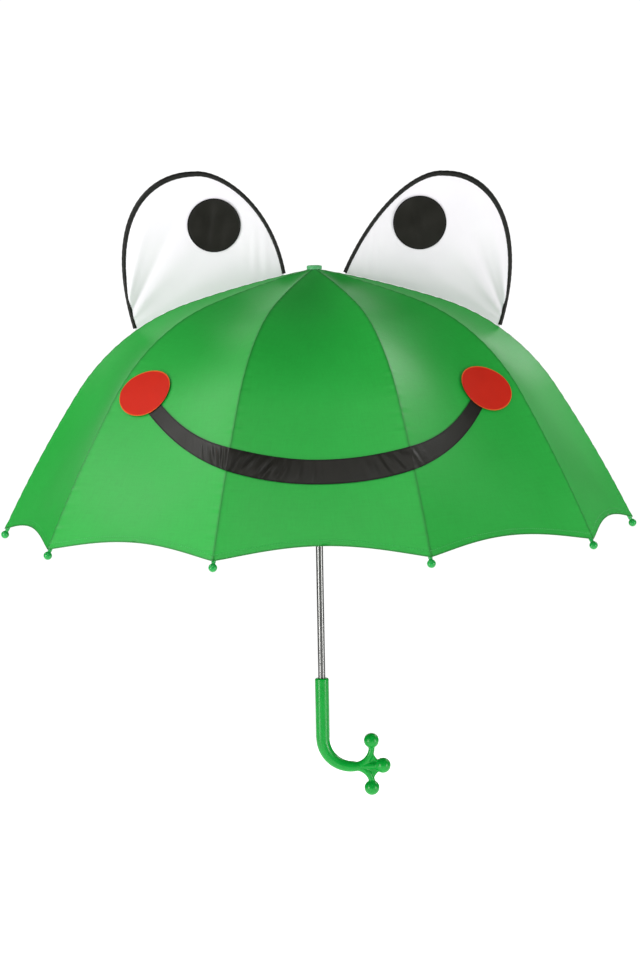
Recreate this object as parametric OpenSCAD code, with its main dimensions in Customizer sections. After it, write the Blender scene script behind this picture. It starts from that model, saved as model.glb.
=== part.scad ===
// Children's stick umbrella: ten ribs, a domed canopy with two standing eyes,
// and a hooked handle that ends in a webbed foot with three ball toes.
// Millimetres. Z runs up the shaft, the face looks along -Y, the hook points to +X.
// The origin is on the shaft's axis, halfway up the straight part of the grip.
// The umbrella is drawn open.

/* [Canopy] */
// Height of the fabric's crown above the origin
crown_z = 491.5; // [486:0.5:496]
// Length of the nearly flat stretch of a rib, next to the crown
flat_len = 136; // [130:1:142]
// Length of the tightly bent stretch of a rib
bend_len = 164; // [158:1:170]
// Length of the outer stretch of a rib, down to its tip
skirt_len = 179; // [174:1:184]
// Slope of the fabric at the crown, in degrees below level
slope_crown = 11; // [10:0.5:12]
// Slope where the flat stretch meets the bend
slope_shoulder = 18; // [17:0.5:19]
// Slope where the bend meets the outer stretch
slope_skirt = 57; // [56:0.5:58]
// Slope at the rim
slope_rim = 64; // [63:0.5:65]
// Deepest sag of a panel between two ribs
panel_sag = 12; // [8:1:13]
// How far the rim is cut back in the middle of a panel
scallop = 14; // [8:1:18]
// Thickness of the fabric solid
fabric_t = 0.6; // [0.5:0.1:0.7]

/* [Eyes] */
// Radius of a pupil
pupil_r = 30; // [24:1:32]
// Distance of a pupil's centre from the shaft's axis
pupil_x = 114; // [108:1:120]
// Height of a pupil's centre above the crown
pupil_up = 50; // [46:1:54]
// Width of the black edging, with its wire inside
piping_w = 4.4; // [3.6:0.2:5]

/* [Ribs and stretchers] */
// Depth of a rib's middle line under the fabric's outer face
rib_depth = 3.1; // [3:0.05:3.2]
// Width of a rib or stretcher, across its radial plane
bar_w = 2.2; // [2:0.1:2.2]
// Height of a rib or stretcher, in its radial plane
bar_h = 2.6; // [2.2:0.1:2.6]
// Distance along a rib from the crown hinge to its rivet
rivet_s = 200; // [196:1:202]
// Length of a stretcher between its two pivots
stretcher_len = 210; // [206:1:212]
// Radius of the ball on a rib's tip
tip_ball_r = 4.4; // [3.8:0.1:4.5]

/* [Shaft and runner] */
// Outer radius of the shaft
shaft_r = 4; // [4:0.05:4]
// Wall of the shaft
shaft_wall = 0.7; // [0.6:0.05:0.8]
// Outer radius of the runner's sleeve
sleeve_r = 7.6; // [7.5:0.1:7.7]
// Length of the runner's sleeve, under its flange
sleeve_len = 42; // [40:1:43]
// Radius of the circle on which the stretchers pivot in the flange
runner_pivot_r = 10; // [10:0.1:10.2]

/* [Handle] */
// Radius of the straight grip
grip_r = 7.75; // [7.5:0.05:8]
// Length of the straight grip
grip_len = 66; // [60:1:68]
// Radius of the middle line of the hook's bend
hook_r = 33; // [32:1:34]
// Radius of the ball on each toe
toe_ball_r = 8.3; // [7.5:0.1:8.5]

/* [Hidden] */
RIBS = 10;
PITCH = 360 / RIBS;

// A rib is three arcs, each [length, slope at its start, slope at its end].
arcs = [
    [flat_len, slope_crown, slope_shoulder],
    [bend_len, slope_shoulder, slope_skirt],
    [skirt_len, slope_skirt, slope_rim]
];
starts = [0, flat_len, flat_len + bend_len];
rib_len = flat_len + bend_len + skirt_len;
rib_start_r = 7;
function turn(k) = (arcs[k][2] - arcs[k][1]) / arcs[k][0];
function arc_at(s) = s < starts[1] ? 0 : s < starts[2] ? 1 : 2;
function slope(s) = let (k = arc_at(s)) arcs[k][1] + turn(k) * (s - starts[k]);

// How far an arc of length l goes out and down from a start at slope a
function out(k, l) = let (a = arcs[k][1]) (sin(a + turn(k) * l) - sin(a)) / (turn(k) * PI / 180);
function down(k, l) = let (a = arcs[k][1]) (cos(a) - cos(a + turn(k) * l)) / (turn(k) * PI / 180);

// [radius, height] of the fabric's outer face over a rib, at distance s from the crown hinge,
// and of the point d beneath it
function over_rib(s) =
    let (l0 = min(s, flat_len))
    let (l1 = max(0, min(s - starts[1], bend_len)))
    let (l2 = max(0, s - starts[2]))
    [
        rib_start_r + out(0, l0) + out(1, l1) + out(2, l2),
        crown_z - down(0, l0) - down(1, l1) - down(2, l2)
    ];
function beneath(s, d) = over_rib(s) - d * [sin(slope(s)), cos(slope(s))];

// The pivots, as [radius, height] in a rib's own plane
hinge = beneath(0, rib_depth);
rivet_depth = 4.4;
rivet = beneath(rivet_s, rivet_depth);
runner_drop = sqrt(pow(stretcher_len, 2) - pow(rivet[0] - runner_pivot_r, 2));
runner_z = rivet[1] - runner_drop;

// Clearances and the small sizes of the joints
past = 1;
hinge_eye_r = 1.4;
rivet_r = 0.75;
rivet_len = 4.1;
rivet_head_r = 1.3;
rivet_head_t = 0.35;
rivet_head_gap = 3.4;
rivet_hole_r = 0.8;
rivet_hole_len = 6;
tongue_len = 6;
bar_stop = 3.5;
joint_drop = 0.5;
joint_extra_h = 1;
knuckle_r = 2;
tongue_t = 1;
cheek_t = 0.5;
cheek_len = 5;
cheek_gap = 0.05;
fork_len = 10;
bridge_from = 8;
bridge_len = 4;
stretcher_eye_r = 1.4;
stretcher_hole_r = 0.6;
stretcher_tongue_len = 24;
stretcher_tongue_h = 2.4;
wire_r = 0.5;
notch_r = 9.3;
notch_h = 3.8;
notch_below = 2.6;
notch_slot_w = 1.6;
cap_lift = 0.7;
cap_r = 8.4;
cap_edge_h = 2.6;
cap_top_r = 7.2;
cap_h = 4.1;
cap_socket = 1.6;
flange_r = 12.5;
flange_h = 5;
flange_slot_w = 1.8;
slot_reach = 20;
stop_r = 5.4;
stop_h = 3;
stop_gap = 0.4;
shaft_fit = 0.05;
shaft_in_grip = 8;
canopy_start = -2.7;
canopy_end = rib_len - 6;
seam_gap = 0.3;
sag_shape = 1.3;
scallop_shape = 1.2;
tip_neck_r = 1.75;
tip_neck_len = 10;
tip_pin_r = 1.1;
tip_pin_len = tip_neck_len - 3;
tip_fit = 0.02;
tip_hole_end = 0.2;
bar_end_s = rib_len - tip_neck_len;
catch_w = 2.4;
catch_reach = 6.4;
catch_len = 26;
catch_pin_r = 0.5;
catch_pin_len = 6.4;
catch_pin_y = 2;
catch_knuckle_r = 1;
catch_back = 2.1;
catch_leaf_y = 3;
catch_slope = 12;
catch_edge = 0.5;
catch_play = 0.5;
catch_slot_w = 3;
catch_slot_y = 6;
catch_slot_h = 18;
window_from = 10;
window_len = 18;
groove_r = 6.8;
groove_w = 3.4;
runner_bottom = runner_z - flange_h / 2 - sleeve_len;

// Closed, the rivets stand on a small circle round the shaft, and the runner has slid down this far.
closed_rivet_r = 17;
closed_rivet_z = hinge[1] - sqrt(pow(norm(rivet - hinge), 2) - pow(closed_rivet_r - hinge[0], 2));
travel = runner_z - closed_rivet_z + sqrt(pow(stretcher_len, 2) - pow(closed_rivet_r - runner_pivot_r, 2));
bottom_catch_z = runner_bottom - travel + window_from + catch_play;
hook_tube_r = 7;
toe_bend_r = 22;
toe_r = 3.9;
toe_turn = 92;
grip_edge = 1.5;
middle_toe_len = 32;
middle_ball_x = 37;
ball_reach = 5;
ball_out = 1;
web_t = 2.6;
web_outline = [[5, 0], [20, 16], [23, 13], [27, 7], [31, 0], [27, -7], [23, -13], [20, -16]];

function azimuth(i) = -90 + PITCH / 2 + PITCH * (i - 1);

module in_rib_plane(i) {
    rotate(azimuth(i)) children();
}

// A disc or pin whose axis crosses the rib's plane, at p = [radius, height]
module across(p, r, w) {
    translate([p[0], 0, p[1]]) rotate([90, 0, 0]) cylinder(r = r, h = w, center = true, $fn = 32);
}

// A bar that follows the rib's arcs from s0 to s1, at depth d, w wide and h high
module bow(s0, s1, d, w, h) {
    for (k = [0:2]) {
        a = max(s0, starts[k]);
        b = min(s1, starts[k] + arcs[k][0]);
        if (b > a) {
            rho = 180 / PI / turn(k);
            from = arcs[k][1] + turn(k) * (a - starts[k]);
            to = arcs[k][1] + turn(k) * (b - starts[k]);
            centre = over_rib(a) - rho * [sin(from), cos(from)];
            translate([centre[0], 0, centre[1]])
                rotate([90, 0, 0])
                    rotate(90 - to)
                        rotate_extrude(angle = to - from, $fn = 720)
                            translate([rho - d - h / 2, -w / 2])
                                square([h, w]);
        }
    }
}

// Two thin plates side by side, which leave a gap for whatever sits between them
module cheeks(gap) {
    for (side = [-1, 1])
        translate([0, side * (gap + cheek_t) / 2, 0]) children();
}

module rib(i) {
    color("silver") in_rib_plane(i) {
        difference() {
            union() {
                across(hinge, hinge_eye_r, tongue_t);
                bow(0, tongue_len, rib_depth, tongue_t, bar_h);
            }
            across(hinge, wire_r + 2 * cheek_gap, tongue_t + past);
        }
        bow(tongue_len, rivet_s - bar_stop, rib_depth, bar_w, bar_h);
        bow(rivet_s - tongue_len, rivet_s, rib_depth + joint_drop, tongue_t, bar_h + joint_extra_h);
        across(rivet, knuckle_r, tongue_t);
        across(rivet, rivet_r, rivet_len);
        cheeks(rivet_head_gap) across(rivet, rivet_head_r, rivet_head_t);
    }
}

module rib_end(i) {
    gap = tongue_t + 2 * cheek_gap;
    color("silver") in_rib_plane(i) {
        difference() {
            cheeks(gap) {
                across(rivet, knuckle_r, cheek_t);
                bow(rivet_s, rivet_s + cheek_len, rib_depth + joint_drop, cheek_t, bar_h + joint_extra_h);
            }
            across(rivet, rivet_hole_r, rivet_hole_len);
        }
        bow(rivet_s + bar_stop, bar_end_s, rib_depth, bar_w, bar_h);
        tip_axis(bar_end_s) cylinder(r = tip_pin_r, h = tip_pin_len, $fn = 32);
    }
}

// Puts its children at distance s on the rib's middle line, with Z along the rib
module tip_axis(s) {
    p = beneath(s, rib_depth);
    translate([p[0], 0, p[1]]) rotate([0, 90 + slope(s), 0]) children();
}

module rib_tip(i) {
    color("forestgreen") in_rib_plane(i) tip_axis(bar_end_s) {
        difference() {
            union() {
                cylinder(r = tip_neck_r, h = tip_neck_len, $fn = 32);
                translate([0, 0, tip_neck_len]) sphere(tip_ball_r, $fn = 48);
            }
            translate([0, 0, -past])
                cylinder(r = tip_pin_r + tip_fit, h = tip_pin_len + tip_hole_end + past, $fn = 32);
        }
    }
}

// A stretcher lies along its own X axis, from the rivet at 0 to the runner at stretcher_len.
module stretcher(i) {
    gap = tongue_t + 4 * cheek_gap + 2 * cheek_t;
    lean = acos((rivet[0] - runner_pivot_r) / stretcher_len);
    bar_from = bridge_from + bridge_len;
    color("silver") in_rib_plane(i)
        translate([rivet[0], 0, rivet[1]]) rotate([0, 180 - lean, 0]) {
            difference() {
                cheeks(gap) {
                    across([0, 0], knuckle_r, cheek_t);
                    translate([fork_len / 2, 0, 0]) cube([fork_len, cheek_t, bar_h], center = true);
                }
                across([0, 0], rivet_hole_r, rivet_hole_len);
            }
            translate([bridge_from, -(gap + 2 * cheek_t) / 2, -bar_h / 2])
                cube([bridge_len, gap + 2 * cheek_t, bar_h]);
            translate([bar_from, -bar_w / 2, -bar_h / 2])
                cube([stretcher_len - stretcher_tongue_len - bar_from + past, bar_w, bar_h]);
            difference() {
                union() {
                    across([stretcher_len, 0], stretcher_eye_r, tongue_t);
                    translate([stretcher_len - stretcher_tongue_len, -tongue_t / 2, -stretcher_tongue_h / 2])
                        cube([stretcher_tongue_len, tongue_t, stretcher_tongue_h]);
                }
                across([stretcher_len, 0], stretcher_hole_r, tongue_t + past);
            }
        }
}

// Slots for thin tongues, cut from a disc at each rib's azimuth
module slots(from_r, w, z0, h) {
    for (i = [1:RIBS])
        rotate(azimuth(i)) translate([from_r, -w / 2, z0]) cube([slot_reach, w, h]);
}

module ring(radius, r, z) {
    translate([0, 0, z]) rotate_extrude($fn = 96) translate([radius, 0]) circle(r, $fn = 24);
}

module crown_notch() {
    color("gainsboro") {
        difference() {
            translate([0, 0, hinge[1] - notch_below]) cylinder(r = notch_r, h = notch_h, $fn = 96);
            translate([0, 0, hinge[1] - notch_below - past])
                cylinder(r = shaft_r, h = notch_h + 2 * past, $fn = 64);
            slots(shaft_r + past, notch_slot_w, hinge[1] - notch_below - past, notch_h + 2 * past);
        }
        ring(hinge[0], wire_r, hinge[1]);
    }
}

module crown_cap() {
    base = crown_z + cap_lift;
    color("forestgreen") difference() {
        translate([0, 0, base])
            rotate_extrude($fn = 96)
                polygon([[0, 0], [cap_r, 0], [cap_r, cap_edge_h], [cap_top_r, cap_h], [0, cap_h]]);
        translate([0, 0, base - past]) cylinder(r = shaft_r, h = cap_socket + past, $fn = 64);
    }
}

module shaft_tube() {
    top = crown_z + cap_lift + cap_socket;
    bottom = -grip_len / 2 + shaft_in_grip;
    color("lightgray") difference() {
        translate([0, 0, bottom]) cylinder(r = shaft_r, h = top - bottom, $fn = 64);
        translate([0, 0, bottom - past])
            cylinder(r = shaft_r - shaft_wall, h = top - bottom + 2 * past, $fn = 64);
        for (z = [runner_bottom + past - catch_slot_h, bottom_catch_z - past])
            translate([-catch_slot_w / 2, 0, z]) cube([catch_slot_w, catch_slot_y, catch_slot_h]);
    }
    // Each catch turns on a short pin across the tube.
    for (z = [runner_bottom - catch_play - catch_len, bottom_catch_z + catch_len])
        translate([0, catch_pin_y, z])
            rotate([0, 90, 0]) cylinder(r = catch_pin_r, h = catch_pin_len, center = true, $fn = 32);
}

module runner_stop() {
    color("dimgray") difference() {
        translate([0, 0, runner_z + flange_h / 2 + stop_gap]) cylinder(r = stop_r, h = stop_h, $fn = 64);
        translate([0, 0, runner_z]) cylinder(r = shaft_r, h = flange_h + 2 * stop_h, $fn = 64);
    }
}

// The flange's slots are open below and outwards, so the stretchers' ends drop out of them freely.
module runner() {
    top = runner_z + flange_h / 2;
    through = top - runner_bottom + 2 * past;
    color("forestgreen") difference() {
        union() {
            translate([0, 0, top - flange_h]) cylinder(r = flange_r, h = flange_h, $fn = 96);
            translate([0, 0, runner_bottom]) cylinder(r = sleeve_r, h = sleeve_len + past, $fn = 64);
        }
        translate([0, 0, runner_bottom - past]) cylinder(r = shaft_r + shaft_fit, h = through, $fn = 64);
        slots(runner_pivot_r - flange_slot_w, flange_slot_w, top - flange_h - past, flange_h + 2 * past);
        translate([-groove_w / 2, 0, runner_bottom - past]) cube([groove_w, groove_r, through]);
        translate([-groove_w / 2, 0, runner_bottom + window_from]) cube([groove_w, flange_r, window_len]);
    }
}

// A sprung leaf inside the shaft. Z runs from its knuckle at 0 to its shoulder at catch_len.
module catch_leaf() {
    difference() {
        union() {
            rotate([90, 0, 90]) linear_extrude(catch_w, center = true)
                polygon([
                    [catch_back, 0], [catch_leaf_y, 0], [catch_leaf_y, catch_len - catch_slope],
                    [catch_reach, catch_len - catch_edge], [catch_reach, catch_len],
                    [catch_back, catch_len]
                ]);
            rotate([0, 90, 0]) translate([0, catch_pin_y, 0])
                cylinder(r = catch_knuckle_r, h = catch_w, center = true, $fn = 32);
        }
        rotate([0, 90, 0]) translate([0, catch_pin_y, 0])
            cylinder(r = catch_pin_r + shaft_fit, h = catch_w + 2 * past, center = true, $fn = 32);
    }
}

module top_catch() {
    color("gray") translate([0, 0, runner_bottom - catch_play - catch_len]) catch_leaf();
}

module bottom_catch() {
    color("gray") translate([0, 0, bottom_catch_z + catch_len]) mirror([0, 0, 1]) catch_leaf();
}

// A round bar bent in the XZ plane about centre, from angle a through the angle by
module bent_bar(centre, bend_r, r, a, by) {
    translate([centre[0], 0, centre[1]]) rotate([90, 0, 0]) rotate(a)
        rotate_extrude(angle = by, $fn = 96) translate([bend_r, 0]) circle(r, $fn = 48);
}

module handle() {
    palm = [hook_r, -grip_len / 2 - hook_r];
    ball_x = palm[0] + toe_bend_r + ball_out;
    color("forestgreen") difference() {
        union() {
            rotate_extrude($fn = 96)
                polygon([
                    [0, -grip_len / 2], [grip_r, -grip_len / 2], [grip_r, grip_len / 2 - grip_edge],
                    [grip_r - grip_edge, grip_len / 2], [0, grip_len / 2]
                ]);
            bent_bar([hook_r, -grip_len / 2], hook_r, hook_tube_r, 180, 90);
            translate([palm[0], 0, palm[1]]) sphere(hook_tube_r, $fn = 48);
            bent_bar([palm[0], palm[1] + toe_bend_r], toe_bend_r, toe_r, 270, toe_turn);
            bent_bar([palm[0], palm[1] - toe_bend_r], toe_bend_r, toe_r, 90 - toe_turn, toe_turn);
            translate([palm[0], 0, palm[1]]) rotate([0, 90, 0])
                cylinder(r = toe_r, h = middle_toe_len, $fn = 48);
            translate([ball_x, 0, palm[1] + toe_bend_r + ball_reach]) sphere(toe_ball_r, $fn = 48);
            translate([palm[0] + middle_ball_x, 0, palm[1]]) sphere(toe_ball_r, $fn = 48);
            translate([ball_x, 0, palm[1] - toe_bend_r - ball_reach]) sphere(toe_ball_r, $fn = 48);
            translate([palm[0], 0, palm[1]]) rotate([90, 0, 0]) linear_extrude(web_t, center = true)
                polygon(web_outline);
        }
        translate([0, 0, -grip_len / 2 + shaft_in_grip]) cylinder(r = shaft_r, h = grip_len, $fn = 64);
    }
}

// A point of the fabric, depth under its outer face: u goes from the crown at 0 to the rim at 1,
// and w from -1 to 1 across the gore, with the rib at 0. Between the ribs the fabric
// runs straight across and sags a little inwards.
half_pitch = PITCH / 2;
function sag_at(s) = panel_sag * pow(max(0, sin(180 * s / canopy_end)), sag_shape);
function fabric_point(u, w, depth) =
    let (m = 1 - pow(1 - abs(w), 2))
    let (s = canopy_start + u * (canopy_end - scallop * pow(m, scallop_shape) - canopy_start))
    let (p = over_rib(s) - (depth + m * sag_at(s)) * [sin(slope(s)), cos(slope(s))])
    let (d = w * (half_pitch - seam_gap / 2 / p[0] * 180 / PI))
    let (r = p[0] * cos(half_pitch) / cos(half_pitch - abs(d)))
    [r * cos(d), r * sin(d), p[1]];

// One gore, centred on its rib: a grid of points on the outer face and one on the inner face
module canopy_panel(i) {
    rows = 24;
    cols = 8;
    per_face = (rows + 1) * (cols + 1);
    points = [
        for (depth = [0, fabric_t], j = [0:rows], k = [0:cols])
            fabric_point(j / rows, 2 * k / cols - 1, depth)
    ];
    function at(face, j, k) = face * per_face + j * (cols + 1) + k;
    edge = [
        for (k = [0:cols]) [0, k],
        for (j = [1:rows]) [j, cols],
        for (k = [cols - 1:-1:0]) [rows, k],
        for (j = [rows - 1:-1:1]) [j, 0]
    ];
    faces = [
        for (j = [0:rows - 1], k = [0:cols - 1]) each [
            [at(0, j, k), at(0, j, k + 1), at(0, j + 1, k + 1)],
            [at(0, j, k), at(0, j + 1, k + 1), at(0, j + 1, k)],
            [at(1, j, k), at(1, j + 1, k + 1), at(1, j, k + 1)],
            [at(1, j, k), at(1, j + 1, k), at(1, j + 1, k + 1)]
        ],
        for (n = [0:len(edge) - 1])
            let (a = edge[n], b = edge[(n + 1) % len(edge)])
            each [
                [at(0, a[0], a[1]), at(1, a[0], a[1]), at(1, b[0], b[1])],
                [at(0, a[0], a[1]), at(1, b[0], b[1]), at(0, b[0], b[1])]
            ]
    ];
    color("limegreen") in_rib_plane(i) polyhedron(points, faces);
}

// The eye's outline: up its outer side to the top, then down its inner side to the canopy.
// Each side is one cubic curve in [radius, height above the crown].
eye_outer = [[206, -66], [230, 27], [196, 108.5], [138, 108.5]];
eye_inner = [[138, 108.5], [110, 111.5], [59, 74], [33, -4]];
function bezier(p, t) =
    pow(1 - t, 3) * p[0] + 3 * t * pow(1 - t, 2) * p[1] + 3 * t * t * (1 - t) * p[2] + pow(t, 3) * p[3];
eye_steps = 14;
eye_line = [
    for (n = [0:eye_steps]) bezier(eye_outer, n / eye_steps),
    for (n = [1:eye_steps]) bezier(eye_inner, n / eye_steps)
];
// The same line, moved inwards by w
function inset(line, w) = [
    for (n = [0:len(line) - 1])
        let (a = line[max(n - 1, 0)], b = line[min(n + 1, len(line) - 1)])
        let (along = (b - a) / norm(b - a))
        line[n] + w * [-along[1], along[0]]
];
eye_seam_s = [32:12:200];
eye_seam_up = 0.5;
eye_t = 1;
pupil_t = 0.5;

module eye_shape() {
    color("black") linear_extrude(piping_w, center = true)
        polygon(concat(eye_line, [for (n = [len(eye_line) - 1:-1:0]) inset(eye_line, piping_w)[n]]));
    color("white") linear_extrude(eye_t, center = true)
        polygon(concat(
            inset(eye_line, piping_w),
            [for (s = eye_seam_s) over_rib(s) + eye_seam_up * [sin(slope(s)), cos(slope(s))] - [0, crown_z]]
        ));
}

// The eye stands in the plane of the ribs on the X axis, and its pupil faces -Y.
module eye(side) {
    mirror([side < 0 ? 1 : 0, 0, 0]) translate([0, 0, crown_z]) {
        rotate([90, 0, 0]) eye_shape();
        color("black") translate([pupil_x, -eye_t / 2, pupil_up])
            rotate([90, 0, 0]) cylinder(r = pupil_r, h = pupil_t, $fn = 96);
    }
}

shaft_tube();
crown_notch();
crown_cap();
runner_stop();
handle();
runner();
top_catch();
bottom_catch();
eye(1);  // eye_right
eye(-1);  // eye_left
rib(1);  // rib_1
rib(2);  // rib_2
rib(3);  // rib_3
rib(4);  // rib_4
rib(5);  // rib_5
rib(6);  // rib_6
rib(7);  // rib_7
rib(8);  // rib_8
rib(9);  // rib_9
rib(10);  // rib_10
rib_end(1);  // rib_end_1
rib_end(2);  // rib_end_2
rib_end(3);  // rib_end_3
rib_end(4);  // rib_end_4
rib_end(5);  // rib_end_5
rib_end(6);  // rib_end_6
rib_end(7);  // rib_end_7
rib_end(8);  // rib_end_8
rib_end(9);  // rib_end_9
rib_end(10);  // rib_end_10
rib_tip(1);  // rib_tip_1
rib_tip(2);  // rib_tip_2
rib_tip(3);  // rib_tip_3
rib_tip(4);  // rib_tip_4
rib_tip(5);  // rib_tip_5
rib_tip(6);  // rib_tip_6
rib_tip(7);  // rib_tip_7
rib_tip(8);  // rib_tip_8
rib_tip(9);  // rib_tip_9
rib_tip(10);  // rib_tip_10
stretcher(1);  // stretcher_1
stretcher(2);  // stretcher_2
stretcher(3);  // stretcher_3
stretcher(4);  // stretcher_4
stretcher(5);  // stretcher_5
stretcher(6);  // stretcher_6
stretcher(7);  // stretcher_7
stretcher(8);  // stretcher_8
stretcher(9);  // stretcher_9
stretcher(10);  // stretcher_10
canopy_panel(1);  // canopy_panel_1
canopy_panel(2);  // canopy_panel_2
canopy_panel(3);  // canopy_panel_3
canopy_panel(4);  // canopy_panel_4
canopy_panel(5);  // canopy_panel_5
canopy_panel(6);  // canopy_panel_6
canopy_panel(7);  // canopy_panel_7
canopy_panel(8);  // canopy_panel_8
canopy_panel(9);  // canopy_panel_9
canopy_panel(10);  // canopy_panel_10
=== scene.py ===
"""The looks of a children's umbrella: a domed canopy with a sewn-on face, two stand-up eyes,
green plastic tips, and a hooked handle that ends in a webbed foot.

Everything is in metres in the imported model's frame: Z runs up the shaft, the face looks along -Y,
and the hook points to +X. Angles in the canopy's surface are azimuths about Z.
"""

import math

import bmesh
import bpy
import numpy as np
from mathutils import Matrix, Vector


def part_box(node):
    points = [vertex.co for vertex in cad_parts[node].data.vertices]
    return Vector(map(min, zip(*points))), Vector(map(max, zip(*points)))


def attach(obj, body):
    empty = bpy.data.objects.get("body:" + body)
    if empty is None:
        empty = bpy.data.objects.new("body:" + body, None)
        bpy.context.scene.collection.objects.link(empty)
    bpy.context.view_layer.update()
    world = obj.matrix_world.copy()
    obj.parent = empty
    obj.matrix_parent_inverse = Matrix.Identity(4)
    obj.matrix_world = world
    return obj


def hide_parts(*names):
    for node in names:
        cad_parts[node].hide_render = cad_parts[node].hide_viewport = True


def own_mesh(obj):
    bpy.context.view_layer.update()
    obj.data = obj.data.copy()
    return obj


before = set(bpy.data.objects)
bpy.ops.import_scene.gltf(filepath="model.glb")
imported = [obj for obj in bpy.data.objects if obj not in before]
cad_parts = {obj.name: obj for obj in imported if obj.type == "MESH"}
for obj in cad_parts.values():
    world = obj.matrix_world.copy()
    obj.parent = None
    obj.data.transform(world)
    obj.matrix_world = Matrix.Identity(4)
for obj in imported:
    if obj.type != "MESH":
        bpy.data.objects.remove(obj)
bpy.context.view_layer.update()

MM = 0.001
RIBS = 10
PITCH = math.tau / RIBS
HALF_GORE = PITCH / 2
FIRST_RIB = -math.pi / 2 + HALF_GORE

# A rib's line under the fabric is three arcs: the distances along it where they meet, and the slopes there.
RIB_STATIONS = (0.0, 0.136, 0.300, 0.479)
RIB_SLOPES = tuple(math.radians(a) for a in (11, 18, 57, 64))
RIB_START_R = 0.007
CROWN_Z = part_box("crown_cap")[0].z - 0.0007
SAG = 0.012
CROWN_HOLE_S = -0.0025
SHOULDER_S = 0.136
RIVET_S = 0.200
CHEEK_S = 0.257
SKIRT_S = 0.315
RIM_S = 0.473
SCALLOP = 0.014
HEM = 0.0075
HEM_LIFT = 0.0004
PUCKER_HEIGHT = 0.00016
PUCKER_REACH = 0.09
ROW_PITCH = 0.004
TINY = 1e-12
INSIDE_Z = 0.2
SHARP_ANGLE = 40
PUPIL_RADIUS = 0.0295
PUPIL_TURN = 0.0012
RIB_DEPTH = 0.0031
COLLAR_S = 0.469

COLLECTION = bpy.context.scene.collection


# ---------------------------------------------------------------- the canopy's surface


def over_rib(s):
    """Radius and height of the fabric over a rib, at distance s along it from the crown hinge."""
    radius = np.full(np.shape(s), RIB_START_R)
    height = np.full(np.shape(s), CROWN_Z)
    for k in range(3):
        length = RIB_STATIONS[k + 1] - RIB_STATIONS[k]
        turn = (RIB_SLOPES[k + 1] - RIB_SLOPES[k]) / length
        run = np.minimum(np.asarray(s) - RIB_STATIONS[k], length)
        run = run if k == 0 else np.maximum(run, 0)
        start = RIB_SLOPES[k]
        radius = radius + (np.sin(start + turn * run) - math.sin(start)) / turn
        height = height - (math.cos(start) - np.cos(start + turn * run)) / turn
    return radius, height


def slope(s):
    return np.interp(s, RIB_STATIONS, RIB_SLOPES)


def beneath(s, depth):
    """Radius and height at a depth under the fabric, over a rib."""
    radius, height = over_rib(s)
    return radius - depth * np.sin(slope(s)), height - depth * np.cos(slope(s))


def azimuth(i):
    return FIRST_RIB + PITCH * (i - 1)


def middling(w):
    return 1 - (1 - w) ** 2


def sag(s):
    return SAG * np.sin(np.pi * np.clip(s / RIM_S, 0, 1)) ** 1.3


def rim(w):
    """How far along a rib's line the fabric ends, at share w of the way to the middle of the panel."""
    return RIM_S - SCALLOP * np.clip(middling(w), 0, 1) ** 1.2


def pucker(s, w, seed):
    """Small gathers beside the seam over a rib, in metres outwards."""
    beside = np.exp(-((w / PUCKER_REACH) ** 2))
    wave = np.sin(s * 430 + seed) + 0.6 * np.sin(s * 707 + 2.3 * seed)
    return PUCKER_HEIGHT * beside * wave


def half_gore_point(i, side, s, w, lift=0.0):
    """A point of the fabric on one side of rib i: w is 0 on the rib and 1 in the middle of the panel."""
    inwards = middling(w) * sag(s) - lift - pucker(s, w, i * 1.7)
    radius, height = over_rib(s)
    radius = radius - inwards * np.sin(slope(s))
    height = height - inwards * np.cos(slope(s))
    radius = radius * math.cos(HALF_GORE) / np.cos(HALF_GORE * (1 - w))
    angle = azimuth(i) + side * w * HALF_GORE
    return np.stack([radius * np.cos(angle), radius * np.sin(angle), height], -1)


def outward_normals(surface, s, w):
    """Unit normals of a surface(s, w), by central differences."""
    step_s = 0.0005
    step_w = step_s * 5
    along = surface(s + step_s, w) - surface(s - step_s, w)
    across = surface(s, w + step_w) - surface(s, w - step_w)
    normal = np.cross(along, across)
    normal /= np.linalg.norm(normal, axis=-1, keepdims=True)
    flip = np.sign((normal * surface(s, w)).sum(-1) - normal[..., 2] * INSIDE_Z)
    return normal * flip[..., None]


def grid_normals(points):
    """Unit normals of a grid of points, from its own rows and columns."""
    normals = np.cross(np.gradient(points, axis=1), np.gradient(points, axis=0))
    return normals / np.maximum(np.linalg.norm(normals, axis=-1, keepdims=True), TINY)


def distance_along(points):
    """How far each point of a line is from its first, along the line."""
    steps = np.linalg.norm(np.diff(points, axis=0), axis=-1)
    return np.concatenate([[0], np.cumsum(steps)])


# ---------------------------------------------------------------- mesh helpers


def new_object(name, mesh, material):
    piece = bpy.data.objects.new(name, mesh)
    COLLECTION.objects.link(piece)
    mesh.materials.append(material)
    return piece


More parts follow.
